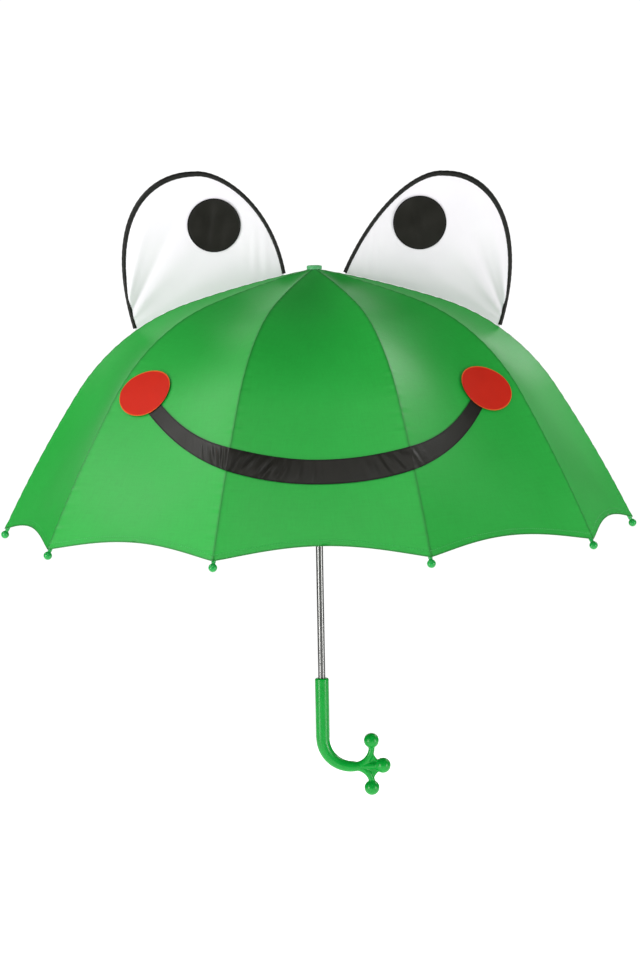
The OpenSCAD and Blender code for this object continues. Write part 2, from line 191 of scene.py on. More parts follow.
def grid_object(name, points, material, normals=None, uvs=None):
    """A sheet from a grid of points (rows, columns, 3). uvs names one (rows, columns, 2) grid per map."""
    rows, columns = points.shape[:2]
    index = np.arange(rows * columns).reshape(rows, columns)
    quads = np.stack(
        [index[:-1, :-1], index[:-1, 1:], index[1:, 1:], index[1:, :-1]], -1
    ).reshape(-1, 4)
    a, b, c = (points.reshape(-1, 3)[quads[:, k]] for k in (0, 1, 3))
    facing = np.cross(b - a, c - a)
    if normals is not None and (facing * normals.reshape(-1, 3)[quads[:, 0]]).sum() < 0:
        quads = quads[:, ::-1]
    mesh = bpy.data.meshes.new(name)
    mesh.from_pydata(points.reshape(-1, 3).tolist(), [], quads.tolist())
    corners = np.zeros(len(mesh.loops), int)
    mesh.loops.foreach_get("vertex_index", corners)
    for layer, values in (uvs or {}).items():
        uv = mesh.uv_layers.new(name=layer)
        uv.data.foreach_set("uv", values.reshape(-1, 2)[corners].astype(np.float32).ravel())
    mesh.shade_smooth()
    if normals is not None:
        mesh.normals_split_custom_set_from_vertices(normals.reshape(-1, 3).tolist())
    return new_object(name, mesh, material)


def ring_mesh(bm, rings, closed_ends=True):
    """Joins rings of points, each a list of the same length, into a tube in bm."""
    loops = [[bm.verts.new(p) for p in ring] for ring in rings]
    for one, two in zip(loops, loops[1:]):
        for k in range(len(one)):
            n = (k + 1) % len(one)
            bm.faces.new((one[k], one[n], two[n], two[k]))
    if closed_ends:
        bm.faces.new(loops[0][::-1])
        bm.faces.new(loops[-1])


def tube_rings(path, radii, sides=20, thickness=None):
    """Rings along a path that lies in a plane of constant Y; thickness is their half width across it."""
    across = radii if thickness is None else thickness
    rings = []
    for n, (x, y, z) in enumerate(path):
        before, after = path[max(n - 1, 0)], path[min(n + 1, len(path) - 1)]
        along = Vector((after[0] - before[0], 0, after[2] - before[2])).normalized()
        out = Vector((along.z, 0, -along.x))
        ring = []
        for k in range(sides):
            a = math.tau * k / sides
            sideways = Vector((0, across[n] * math.sin(a), 0))
            ring.append(Vector((x, y, z)) + out * (radii[n] * math.cos(a)) + sideways)
        rings.append(ring)
    return rings


def welded_mesh(name, rings):
    """A mesh of joined rings, with points that coincide made one."""
    bm = bmesh.new()
    ring_mesh(bm, rings, closed_ends=False)
    bmesh.ops.remove_doubles(bm, verts=bm.verts, dist=1e-6)
    return finished_mesh(bm, name)


def finished_mesh(bm, name):
    """A mesh from bm, with its faces turned outwards."""
    bmesh.ops.recalc_face_normals(bm, faces=bm.faces)
    mesh = bpy.data.meshes.new(name)
    bm.to_mesh(mesh)
    bm.free()
    return mesh


def lathe(name, profile, place, material, sides=48):
    """A turned piece: profile is (radius, height) pairs, from the axis to the axis."""
    angles = [math.tau * k / sides for k in range(sides)]
    turns = [
        [Vector((radius * math.cos(a), radius * math.sin(a), height)) for a in angles]
        for radius, height in profile
    ]
    mesh = welded_mesh(name, turns)
    mesh.transform(place)
    mesh.shade_smooth()
    mesh.set_sharp_from_angle(angle=math.radians(SHARP_ANGLE))
    return new_object(name, mesh, material)


def apply_modifiers(piece):
    depsgraph = bpy.context.evaluated_depsgraph_get()
    mesh = bpy.data.meshes.new_from_object(piece.evaluated_get(depsgraph))
    piece.modifiers.clear()
    piece.data = mesh


def smoothstep(x):
    x = np.clip(x, 0, 1)
    return x * x * (3 - 2 * x)


# ---------------------------------------------------------------- materials


class Nodes:
    """A material's node tree, with short calls for the nodes that the materials here share."""

    def __init__(self, name):
        self.material = bpy.data.materials.new(name)
        self.material.use_nodes = True
        self.tree = self.material.node_tree
        self.shader = self.tree.nodes["Principled BSDF"]

    def add(self, kind, inputs=(), **settings):
        node = self.tree.nodes.new(kind)
        for key, value in settings.items():
            setattr(node, key, value)
        for key, value in dict(inputs).items():
            self.put(node.inputs[key], value)
        return node

    def put(self, socket, value):
        if isinstance(value, bpy.types.NodeSocket):
            self.tree.links.new(value, socket)
        else:
            socket.default_value = value

    def set(self, **values):
        for key, value in values.items():
            self.put(self.shader.inputs[key.replace("_", " ")], value)

    def math(self, operation, a, b=0.0):
        node = self.add("ShaderNodeMath", operation=operation)
        for socket, value in zip(node.inputs, (a, b)):
            self.put(socket, value)
        return node.outputs[0]

    def noise(self, scale, detail=3.0, vector=None):
        node = self.add("ShaderNodeTexNoise", {"Scale": scale, "Detail": detail, "Roughness": 0.5})
        if vector is not None:
            self.put(node.inputs["Vector"], vector)
        return node.outputs["Fac"]

    def object_coordinates(self):
        return self.add("ShaderNodeTexCoord").outputs["Object"]

    def stretched(self, vector, scale):
        return self.add("ShaderNodeMapping", {"Vector": vector, "Scale": scale}).outputs["Vector"]

    def uv(self, layer):
        return self.add("ShaderNodeUVMap", uv_map=layer).outputs["UV"]

    def ramp(self, value, low, high, to_low=0.0, to_high=1.0):
        node = self.add(
            "ShaderNodeMapRange",
            {"Value": value, "From Min": low, "From Max": high, "To Min": to_low, "To Max": to_high},
        )
        return node.outputs["Result"]

    def mix(self, share, one, two):
        node = self.add("ShaderNodeMix", data_type="RGBA")
        self.put(node.inputs["Factor"], share)
        self.put(node.inputs["A"], one)
        self.put(node.inputs["B"], two)
        return node.outputs["Result"]

    def bump(self, height, distance, strength=1.0):
        node = self.add("ShaderNodeBump", {"Height": height, "Distance": distance, "Strength": strength})
        self.put(self.shader.inputs["Normal"], node.outputs["Normal"])


def weave(nodes, layer, thread):
    """A plain weave's height, 0 to 1, from a map in metres."""
    split = nodes.add("ShaderNodeSeparateXYZ", {"Vector": nodes.uv(layer)})
    turns = math.tau / (2 * thread)
    warp = nodes.math("SINE", nodes.math("MULTIPLY", split.outputs["X"], turns))
    weft = nodes.math("SINE", nodes.math("MULTIPLY", split.outputs["Y"], turns))
    return nodes.ramp(nodes.math("MULTIPLY", warp, weft), -1, 1)


def green_fabric():
    nodes = Nodes("green_satin_nylon")
    coordinates = nodes.object_coordinates()
    broad = nodes.noise(9, 3, coordinates)
    fine = nodes.noise(260, 2, coordinates)
    edges = nodes.add("ShaderNodeSeparateXYZ", {"Vector": nodes.uv("edges")})
    threads = weave(nodes, "cloth", 0.0006)
    warp = nodes.noise(1, 2, nodes.stretched(nodes.uv("cloth"), (900, 45, 1)))
    weft = nodes.noise(1, 2, nodes.stretched(nodes.uv("cloth"), (45, 900, 1)))
    uneven = nodes.math("ADD", warp, weft)
    colour = nodes.mix(broad, (0.004, 0.31, 0.024, 1), (0.007, 0.40, 0.040, 1))
    colour = nodes.mix(nodes.ramp(uneven, 0.75, 1.25, 0.0, 0.30), colour, (0.003, 0.22, 0.016, 1))
    colour = nodes.mix(nodes.math("MULTIPLY", fine, 0.25), colour, (0.012, 0.46, 0.05, 1))
    colour = nodes.mix(nodes.math("MULTIPLY", threads, 0.12), colour, (0.004, 0.2, 0.015, 1))
    hem = nodes.ramp(edges.outputs["Y"], HEM, HEM + 0.0006, 0.10, 0.0)
    colour = nodes.mix(hem, colour, (0.004, 0.2, 0.016, 1))
    brink = nodes.ramp(edges.outputs["Y"], 0.0006, 0.0016, 0.6, 0.0)
    colour = nodes.mix(brink, colour, (0.002, 0.10, 0.010, 1))
    seam = nodes.ramp(edges.outputs["X"], 0.0004, 0.0026, 0.6, 0.0)
    colour = nodes.mix(seam, colour, (0.001, 0.14, 0.012, 1))
    stitch_row = nodes.math("ABSOLUTE", nodes.math("SUBTRACT", edges.outputs["Y"], HEM - 0.0012))
    cloth = nodes.add("ShaderNodeSeparateXYZ", {"Vector": nodes.uv("cloth")})
    dash = nodes.math("SINE", nodes.math("MULTIPLY", cloth.outputs["X"], math.tau / 0.0028))
    on_row = nodes.ramp(stitch_row, 0.0002, 0.0005, 1.0, 0.0)
    stitch = nodes.math("MULTIPLY", on_row, nodes.ramp(dash, -0.3, 0.1))
    colour = nodes.mix(nodes.math("MULTIPLY", stitch, 0.6), colour, (0.03, 0.42, 0.08, 1))
    nodes.set(Base_Color=colour)
    nodes.set(Roughness=nodes.ramp(broad, 0.3, 0.7, 0.42, 0.50))
    nodes.set(Sheen_Weight=0.02, Sheen_Roughness=0.35, Sheen_Tint=(0.6, 1.0, 0.7, 1))
    nodes.set(Specular_IOR_Level=0.5)
    relief = nodes.math("ADD", nodes.math("MULTIPLY", threads, 0.10), nodes.math("MULTIPLY", fine, 0.12))
    relief = nodes.math("ADD", relief, nodes.math("MULTIPLY", stitch, 0.6))
    nodes.bump(relief, 0.0004, 0.6)
    return nodes.material


def patch_fabric(name, dark, light, roughness, gloss, edge_colour):
    """Satin for a sewn-on patch: its map runs along and across it, and its edges have a zigzag stitch."""
    nodes = Nodes(name)
    coordinates = nodes.object_coordinates()
    broad = nodes.noise(45, 3, coordinates)
    edges = nodes.add("ShaderNodeSeparateXYZ", {"Vector": nodes.uv("edges")})
    threads = weave(nodes, "cloth", 0.0005)
    colour = nodes.mix(broad, dark, light)
    colour = nodes.mix(nodes.math("MULTIPLY", threads, 0.2), colour, dark)
    zigzag = nodes.math("SINE", nodes.math("MULTIPLY", edges.outputs["X"], math.tau / 0.0012))
    edge = nodes.ramp(edges.outputs["Y"], 0.0011, 0.0015, 1.0, 0.0)
    stitched = nodes.math("MULTIPLY", edge, nodes.ramp(zigzag, -1, 1, 0.75, 1.0))
    colour = nodes.mix(stitched, colour, edge_colour)
    nodes.set(Base_Color=colour)
    nodes.set(Roughness=nodes.ramp(broad, 0.3, 0.7, roughness, roughness + 0.1))
    nodes.set(Specular_IOR_Level=gloss)
    relief = nodes.math("ADD", nodes.math("MULTIPLY", threads, 0.15), nodes.math("MULTIPLY", stitched, 0.7))
    nodes.bump(relief, 0.0004, 0.6)
    return nodes.material


def white_fabric():
    nodes = Nodes("white_satin_nylon")
    coordinates = nodes.object_coordinates()
    broad = nodes.noise(14, 3, coordinates)
    threads = weave(nodes, "cloth", 0.0006)
    colour = nodes.mix(broad, (0.77, 0.745, 0.785, 1), (0.86, 0.835, 0.86, 1))
    colour = nodes.mix(nodes.math("MULTIPLY", threads, 0.12), colour, (0.70, 0.69, 0.73, 1))
    nodes.set(Base_Color=colour)
    nodes.set(Roughness=nodes.ramp(broad, 0.3, 0.7, 0.45, 0.6))
    nodes.set(Sheen_Weight=0.2, Sheen_Roughness=0.4)
    relief = nodes.math("ADD", nodes.math("MULTIPLY", threads, 0.12), nodes.noise(60, 3, coordinates))
    nodes.bump(relief, 0.0004, 0.5)
    return nodes.material


def bias_tape():
    nodes = Nodes("black_bias_tape")
    coordinates = nodes.object_coordinates()
    broad = nodes.noise(120, 3, coordinates)
    threads = weave(nodes, "cloth", 0.0005)
    colour = nodes.mix(broad, (0.006, 0.006, 0.005, 1), (0.018, 0.018, 0.015, 1))
    nodes.set(Base_Color=nodes.mix(nodes.math("MULTIPLY", threads, 0.3), colour, (0.004, 0.004, 0.004, 1)))
    nodes.set(Roughness=nodes.ramp(broad, 0.3, 0.7, 0.42, 0.58))
    nodes.set(Specular_IOR_Level=0.25)
    nodes.bump(nodes.math("ADD", nodes.math("MULTIPLY", threads, 0.3), broad), 0.0003, 0.6)
    return nodes.material


def green_plastic(name, dark, light, roughness):
    """Moulded plastic: a little uneven in gloss, with faint flow ripples and fine handling scratches."""
    nodes = Nodes(name)
    coordinates = nodes.object_coordinates()
    cloudy = nodes.noise(60, 3, coordinates)
    ripple = nodes.noise(180, 2, coordinates)
    grain = nodes.noise(1600, 2, coordinates)
    nodes.set(Base_Color=nodes.mix(cloudy, dark, light))
    nodes.set(Roughness=nodes.ramp(nodes.math("ADD", cloudy, nodes.math("MULTIPLY", grain, 0.4)),
                                   0.5, 1.0, roughness, roughness + 0.12))
    nodes.set(Specular_IOR_Level=0.3)
    nodes.bump(nodes.math("ADD", ripple, nodes.math("MULTIPLY", grain, 0.15)), 0.00012, 0.6)
    return nodes.material


def steel(name, dark, light, metallic, roughness, streaks):
    """Drawn or painted steel: fine lines and patches that are a little rougher."""
    nodes = Nodes(name)
    coordinates = nodes.object_coordinates()
    cloudy = nodes.noise(70, 4, coordinates)
    lines = nodes.noise(streaks, 2, nodes.stretched(coordinates, (1, 1, 0.01)))
    nodes.set(Base_Color=nodes.mix(cloudy, dark, light))
    nodes.set(Metallic=metallic)
    nodes.set(Roughness=nodes.ramp(nodes.math("ADD", cloudy, lines), 0.7, 1.3, roughness, roughness + 0.12))
    nodes.bump(lines, 0.000004, 0.2)
    return nodes.material


def dull_rubber():
    nodes = Nodes("black_rubber")
    coordinates = nodes.object_coordinates()
    grain = nodes.noise(900, 3, coordinates)
    nodes.set(Base_Color=nodes.mix(grain, (0.012, 0.012, 0.012, 1), (0.035, 0.035, 0.034, 1)))
    nodes.set(Roughness=nodes.ramp(grain, 0.3, 0.7, 0.6, 0.8))
    nodes.bump(grain, 0.0001, 0.6)
    return nodes.material


GREEN_FABRIC = green_fabric()
RED_SATIN = patch_fabric(
    "red_satin", (0.46, 0.012, 0.003, 1), (0.58, 0.018, 0.005, 1), 0.5, 0.15, (0.66, 0.10, 0.015, 1)
)
BLACK_SATIN = patch_fabric(
    "black_satin", (0.007, 0.007, 0.005, 1), (0.018, 0.017, 0.013, 1), 0.36, 0.3, (0.004, 0.004, 0.004, 1)
)
WHITE_FABRIC = white_fabric()
BIAS_TAPE = bias_tape()
HANDLE_PLASTIC = green_plastic("handle_plastic", (0.001, 0.24, 0.024, 1), (0.002, 0.31, 0.034, 1), 0.24)
TIP_PLASTIC = green_plastic("tip_plastic", (0.008, 0.25, 0.04, 1), (0.015, 0.33, 0.06, 1), 0.14)
CAP_PLASTIC = green_plastic("cap_plastic", (0.07, 0.38, 0.12, 1), (0.12, 0.46, 0.19, 1), 0.3)
CROWN_PLASTIC = green_plastic("crown_plastic", (0.45, 0.46, 0.44, 1), (0.62, 0.63, 0.60, 1), 0.35)
RIB_STEEL = steel("rib_steel", (0.34, 0.35, 0.37, 1), (0.50, 0.51, 0.53, 1), 0.9, 0.32, 1200)
CATCH_STEEL = steel("catch_steel", (0.30, 0.30, 0.31, 1), (0.46, 0.46, 0.47, 1), 1.0, 0.28, 1500)
CHROME = steel("shaft_chrome", (0.16, 0.16, 0.155, 1), (0.19, 0.19, 0.185, 1), 1.0, 0.26, 900)
RUBBER = dull_rubber()


# ---------------------------------------------------------------- the canopy's fabric


def gather(piece, i, part):
    """Makes a piece of one half gore move with its rib, on a mesh of its own."""
    start, end, keep, body = PARTS[part]
    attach(piece, f"{body}_{i}")
    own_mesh(piece)


# each part of a half gore: where it starts and ends along the rib,
# what is left of its width when closed, its body
PARTS = {
    "top": (CROWN_HOLE_S, SHOULDER_S, 0.17, "rib"),
    "shoulder": (SHOULDER_S, RIVET_S, 0.15, "rib"),
    "bend": (RIVET_S, CHEEK_S, 0.14, "rib_end"),
    "cheek": (CHEEK_S, SKIRT_S, 0.13, "rib_end"),
    "skirt": (SKIRT_S, RIM_S, 0.12, "rib_end"),
}


def half_gore(i, side, part, columns=16):
    """One part of the fabric between rib i and the middle of the next panel."""
    start, end, _, _ = PARTS[part]
    w = np.linspace(0, 1, columns) ** 1.4
    rows = round((end - start) / ROW_PITCH)
    share = np.linspace(0, 1, rows + 1)[:, None]
    last = rim(w)[None, :] if part == "skirt" else np.full((1, columns), end)
    s = start + share * (last - start)
    w = np.broadcast_to(w, s.shape)
    gap = rim(w) - s
    lift = HEM_LIFT * smoothstep((HEM - gap) / (2 * HEM_LIFT))
    if part == "skirt":
        # the hem turns under at the rim and comes back up inside
        edge = rim(w[:1])
        turned = [(edge, HEM_LIFT), (edge + 0.0003, 0.0), (edge, -0.0005), (edge - HEM, -0.0006)]
        s = np.concatenate([s, *(row for row, _ in turned)])
        lift = np.concatenate([lift, *(np.full_like(edge, high) for _, high in turned)])
        gap = np.concatenate([gap, *(np.abs(edge - row) for row, _ in turned)])
        w = np.broadcast_to(w[:1], s.shape)
    points = half_gore_point(i, side, s, w, lift)

    def surface(s, w):
        return half_gore_point(i, side, s, w)

    normals = outward_normals(surface, s, w)
    if part == "skirt":
        downhill = surface(s[-3], w[-3]) - surface(s[-3] - 0.001, w[-3])
        normals[-3] = downhill / np.linalg.norm(downhill, axis=-1, keepdims=True)
        normals[-2:] *= -1
    radius = over_rib(s)[0]
    across = w * HALF_GORE * radius
    maps = {"cloth": np.stack([across * side, s], -1), "edges": np.stack([across, gap], -1)}
    name = f"canopy_{i}_{'left' if side < 0 else 'right'}_{part}"
    piece = grid_object(name, points, GREEN_FABRIC, normals, maps)
    gather(piece, i, part)
    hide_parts(f"canopy_panel_{i}")


def nearest_rib(angle):
    return int(round((angle - FIRST_RIB) / PITCH)) % RIBS + 1


def from_rib(i, angle):
    """An azimuth as the turn from rib i's, between minus and plus half a turn."""
    return (angle - azimuth(i) + math.pi) % math.tau - math.pi


def patch_normals(points, i, side, s, w):
    """A patch's own normals, all facing outwards as the fabric's do under it."""
    flat = outward_normals(lambda s, w: half_gore_point(i, side, s, w), s, w)
    normals = grid_normals(points)
    normals *= np.sign((normals * flat).sum(-1, keepdims=True))
    sound = np.isfinite(normals) & (np.abs(normals).sum(-1, keepdims=True) > 0.5)
    return np.where(sound, normals, flat)


def face_patch(name, angles, low, high, material, part, lift, relief=None, rows=14):
    """A patch sewn on the canopy: at each azimuth in angles it runs from low to high along the rib's line.
    It is cut where a rib or the middle of a panel crosses it, so that each piece moves with the fabric under
    it."""
    narrowest = 0.01
    cuts = np.arange(-RIBS, RIBS + 1) * HALF_GORE - math.pi / 2
    inside = [c for c in cuts if angles[0] + narrowest < c < angles[-1] - narrowest]
    bounds = [angles[0], *inside, angles[-1]]
    for n, (start, end) in enumerate(zip(bounds, bounds[1:])):
        between = angles[(angles > start + 1e-6) & (angles < end - 1e-6)]
        here = np.concatenate([[start], between, [end]])
        middle = (start + end) / 2
        i = nearest_rib(middle)
        side = 1 if from_rib(i, middle) > 0 else -1
        w = side * from_rib(i, here) / HALF_GORE
        share = np.linspace(0, 1, rows)[:, None]
        bottom, top = low(here)[None, :], high(here)[None, :]
        s = bottom + share * (top - bottom)
        w = np.broadcast_to(w, s.shape)
        raised = np.full(s.shape, lift) if relief is None else lift + relief(s, here[None, :], share)
        points = half_gore_point(i, side, s, w, raised)
        normals = patch_normals(points, i, side, s, w)
        run = distance_along(points[rows // 2])
        gap = np.minimum(np.abs(s - bottom), np.abs(top - s))
        across = np.broadcast_to(run, s.shape)
        maps = {"cloth": np.stack([across, s], -1), "edges": np.stack([across, gap], -1)}
        piece = grid_object(f"{name}_{n + 1}", points, material, normals, maps)
        gather(piece, i, part)


SMILE_S = 0.3765
SMILE_ENDS = (-44, 43)
SMILE_LIFT = 0.0009
CHEEK_LIFT = 0.0018
# how the smile's creases lean, at these angles in degrees from the front
CREASE_TURNS = (-24, -21, -18, -15, -10, -2, 6, 14)
CREASE_LEANS = (-0.6, -0.6, 0.0, 1.0, 0.9, 0.0, 0.0, -0.8)
CREASE_HEIGHT = 0.0011


def degrees_from_front(angle):
    return np.degrees(angle) + 90


def smile_middle(turn):
    """Distance along the rib's line of the smile's middle, at an angle in degrees from the front."""
    reach = np.abs(turn)
    rise_right = 0.0000157 * reach**2.263
    rise_left = 0.0000493 * reach**1.94
    return SMILE_S - np.where(turn > 0, rise_right, rise_left)


def smile_half_width(turn):
    return 0.0096 + 0.0047 / (1 + (np.abs(turn) / 23) ** 4)


def smile_relief(s, angle, share):
    """Diagonal gathers in the smile's satin, which is slack between its seams."""
    turn = degrees_from_front(angle)
    slack = np.exp(-(((turn + 13) / 9) ** 2)) + 0.45 * np.exp(-(((turn - 14) / 5) ** 2))
    lean = share * np.interp(turn, CREASE_TURNS, CREASE_LEANS)
    broad = np.sin(turn * 2.9 + lean * 9 + 0.7 * np.sin(turn))
    fine = 0.45 * np.sin(turn * 4.9 + lean * 13 + 1)
    held = np.sin(np.pi * np.clip(share, 0, 1)) ** 0.6
    return CREASE_HEIGHT * slack * (broad + fine + 1.45) * held


def smile():
    """The black satin strip of the smile."""
    left, right = (math.radians(-90 + end) for end in SMILE_ENDS)
    angles = np.linspace(left, right, 340)

    def low(angle):
        turn = degrees_from_front(angle)
        return smile_middle(turn) - smile_half_width(turn)

    def high(angle):
        turn = degrees_from_front(angle)
        return smile_middle(turn) + smile_half_width(turn)

    face_patch("smile", angles, low, high, BLACK_SATIN, "skirt", SMILE_LIFT, smile_relief, rows=22)


def cheek(name, angle, s_middle, reach_angle, reach_s):
    """An oval of red satin."""
    steps = np.linspace(0, math.pi, 49)
    angles = angle - reach_angle * np.cos(steps)

    def half_height(a):
        return reach_s * np.sqrt(np.clip(1 - ((a - angle) / reach_angle) ** 2, 0.0004, 1))

    def low(a):
        return s_middle - half_height(a)

    def high(a):
        return s_middle + half_height(a)

    face_patch(name, angles, low, high, RED_SATIN, "cheek", CHEEK_LIFT, rows=25)


# ---------------------------------------------------------------- the eyes


# an eye's line: its outer foot, the control point above that, its top, and the control point inside
EYE_RIGHT = ((0.205, -0.065), (0.236, 0.034), (0.145, 0.1030), (0.069, 0.072))
EYE_LEFT = ((0.200, -0.0615), (0.231, 0.050), (0.131, 0.1070), (0.047, 0.074))
EYE_SHOULDER = 0.058


def cubic(p, t):
    p = np.array(p)
    t = np.asarray(t)[:, None]
    return (1 - t) ** 3 * p[0] + 3 * t * (1 - t) ** 2 * p[1] + 3 * t**2 * (1 - t) * p[2] + t**3 * p[3]


def eye_outline(foot, outer, top, inner, steps=60):
    """(x, height above the crown) up the outer side of an eye, over its top and down its inner side."""
    t = np.linspace(0, 1, steps)
    up = cubic([foot, outer, (top[0] + EYE_SHOULDER, top[1]), top], t)
    down = cubic([top, (top[0] - 0.028, top[1] + 0.003), inner, (0.034, -0.004)], t)
    return np.concatenate([up, down[1:]])


def eye_point(outline, t, v):
    """A point of an eye between its base on the canopy (v = 0) and its outline (v = 1)."""
    along = np.clip(t, 0, 1) * (len(outline) - 1)
    top = np.stack([np.interp(along, np.arange(len(outline)), outline[:, k]) for k in (0, 1)], -1)
    stations = np.linspace(0, RIM_S, 400)
    foot_s, end_s = np.interp(outline[[0, -1], 0], over_rib(stations)[0], stations)
    radius, height = over_rib(foot_s + (end_s - foot_s) * t)
    base = np.stack([radius, height - CROWN_Z + 0.0004], -1)
    return base + (top - base) * np.asarray(v)[..., None]


def eye_folds(x, up, side):
    """Soft folds that fan out from an eye's lower outer corner, in metres towards the viewer."""
    angle = np.degrees(np.arctan2(up + 0.066, 0.215 - x))
    far = np.hypot(up + 0.066, 0.215 - x)
    fade = smoothstep(far / 0.05) * (1 - smoothstep((far - 0.10) / 0.08))
    folds = 0.0
    for centre, width, height in ((80, 5, 1.6), (66, 4, -1.0), (54, 6, 0.8), (97, 5, -0.9), (33, 5, 0.5)):
        folds = folds + height * np.exp(-(((angle - centre - 3 * side) / width) ** 2))
    inner = np.exp(-(((x - 0.060) / 0.014) ** 2 + ((up - 0.018) / 0.03) ** 2))
    return MM * (1.5 * folds * fade + 0.5 * inner * np.sin(x * 500))


def eye(name, side, rib, line, pupil_x, pupil_up):
    outline = eye_outline(*line)
    t, v = np.meshgrid(np.linspace(0, 1, 90), np.linspace(0, 1, 46))
    flat = eye_point(outline, t, v)
    x, up = flat[..., 0], flat[..., 1]
    body = f"rib_{rib}"
    swell = 0.0016 * np.sin(np.pi * v) ** 0.7 * np.sin(np.pi * t) ** 0.5
    held = np.sin(np.pi * np.clip(v, 0, 1)) ** 0.5
    for face, towards in (("front", -1), ("back", 1)):
        y = towards * (0.0006 + swell) - held * eye_folds(x, up, side)
        points = np.stack([side * x, y, up + CROWN_Z], -1)
        normals = np.cross(np.gradient(points, axis=1), np.gradient(points, axis=0))
        normals /= np.maximum(np.linalg.norm(normals, axis=-1, keepdims=True), 1e-12)
        normals *= np.sign(normals[..., 1:2]) * towards
        normals[:, [0, -1]] = (0, towards, 0)
        piece = grid_object(f"{name}_{face}", points, WHITE_FABRIC, normals, {"cloth": np.stack([x, up], -1)})
        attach(piece, body)
        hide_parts(name)
    edge(name, outline, side, body)
    pupil(name, side, body, pupil_x, pupil_up)


def edge(name, outline, side, body):
    """The black tape round an eye, sewn over a hoop of wire."""
    length = np.concatenate([[0], np.cumsum(np.linalg.norm(np.diff(outline, axis=0), axis=1))])
    count = 260
    at = np.linspace(0, length[-1], count)
    x = np.interp(at, length, outline[:, 0])
    up = np.interp(at, length, outline[:, 1])
    path = [(side * a, 0.0, b + CROWN_Z) for a, b in zip(x, up)]
    broad = np.exp(-(((at / length[-1] - 0.45) / 0.22) ** 2))
    half_width = 0.0023 + 0.0011 * broad + 0.00008 * np.sin(at * 900)
    half_thickness = 0.0019 + 0.00006 * np.sin(at * 1730 + 1)
    sides = 18
    rings = tube_rings(path, half_width, sides, half_thickness)
    points = np.array([[tuple(p) for p in ring] + [tuple(ring[0])] for ring in rings])
    centre = np.array(path)[:, None, :]
    normals = points - centre
    normals /= np.linalg.norm(normals, axis=-1, keepdims=True)
    around = np.linspace(0, math.tau * 0.0024, sides + 1)
    maps = {"cloth": np.stack([np.broadcast_to(at[:, None], (count, sides + 1)),
                               np.broadcast_to(around, (count, sides + 1))], -1)}
    piece = grid_object(f"{name}_edging", points, BIAS_TAPE, normals, maps)
    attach(piece, body)


def pupil(name, side, body, centre_x, centre_up):
    """A round of black satin sewn on the front of an eye."""
    radius = PUPIL_RADIUS
    columns = 73
    angle, share = np.meshgrid(np.linspace(0, math.tau, columns), np.linspace(0.0, 1, 15))
    x = centre_x + radius * share * np.cos(angle)
    up = centre_up + radius * share * np.sin(angle)
    middle = np.exp(-(((x - centre_x) / 0.012) ** 2))
    crease = 0.0004 * np.sin(x * 330 + up * 70) * middle * (1 - share**4)
    swell = 0.0004 * smoothstep((1 - share) / 0.08)
    y = -0.0030 - swell - crease - 0.42 * eye_folds(x, up, side)
    points = np.stack([side * x, y, up + CROWN_Z], -1)
    rim_row = points[-1:].copy()
    rim_row[..., 1] = -PUPIL_TURN
    points = np.concatenate([points, rim_row])
    normals = grid_normals(points)
    normals *= -np.sign(normals[..., 1:2])
    normals[0] = (0, -1, 0)
    normals[-2:] = (0, -1, 0)
    from_edge = np.concatenate([radius * (1 - share), np.zeros((1, columns))])
    around = np.broadcast_to(np.linspace(0, math.tau * radius, columns), from_edge.shape)
    flat = np.stack([points[..., 0], points[..., 2]], -1)
    maps = {"cloth": flat, "edges": np.stack([around, from_edge], -1)}
    piece = grid_object(f"{name}_pupil", points, BLACK_SATIN, normals, maps)
    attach(piece, body)


# ---------------------------------------------------------------- the plastic parts

GRIP_R = 0.00775
GRIP_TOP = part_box("handle")[1].z
BEND_Z = -0.036
BEND_R = 0.033
PALM = (BEND_R, BEND_Z - BEND_R)


def bend_path(centre, radius, start, end, steps):
    return [
        (centre[0] + radius * math.cos(a), 0.0, centre[1] + radius * math.sin(a))
        for a in np.radians(np.linspace(start, end, steps))
    ]


def ball(bm, centre, radius):
    made = bmesh.ops.create_icosphere(bm, subdivisions=4, radius=radius)
    bmesh.ops.translate(bm, verts=made["verts"], vec=Vector((centre[0], 0, centre[1])))


def web(bm, outline, half_thickness):
    """A thin plate in the XZ plane."""
    front = [bm.verts.new((x, -half_thickness, z)) for x, z in outline]
    back = [bm.verts.new((x, half_thickness, z)) for x, z in outline]
    bm.faces.new(front)
    bm.faces.new(back[::-1])
    for k in range(len(outline)):
        n = (k + 1) % len(outline)
        bm.faces.new((front[n], front[k], back[k], back[n]))


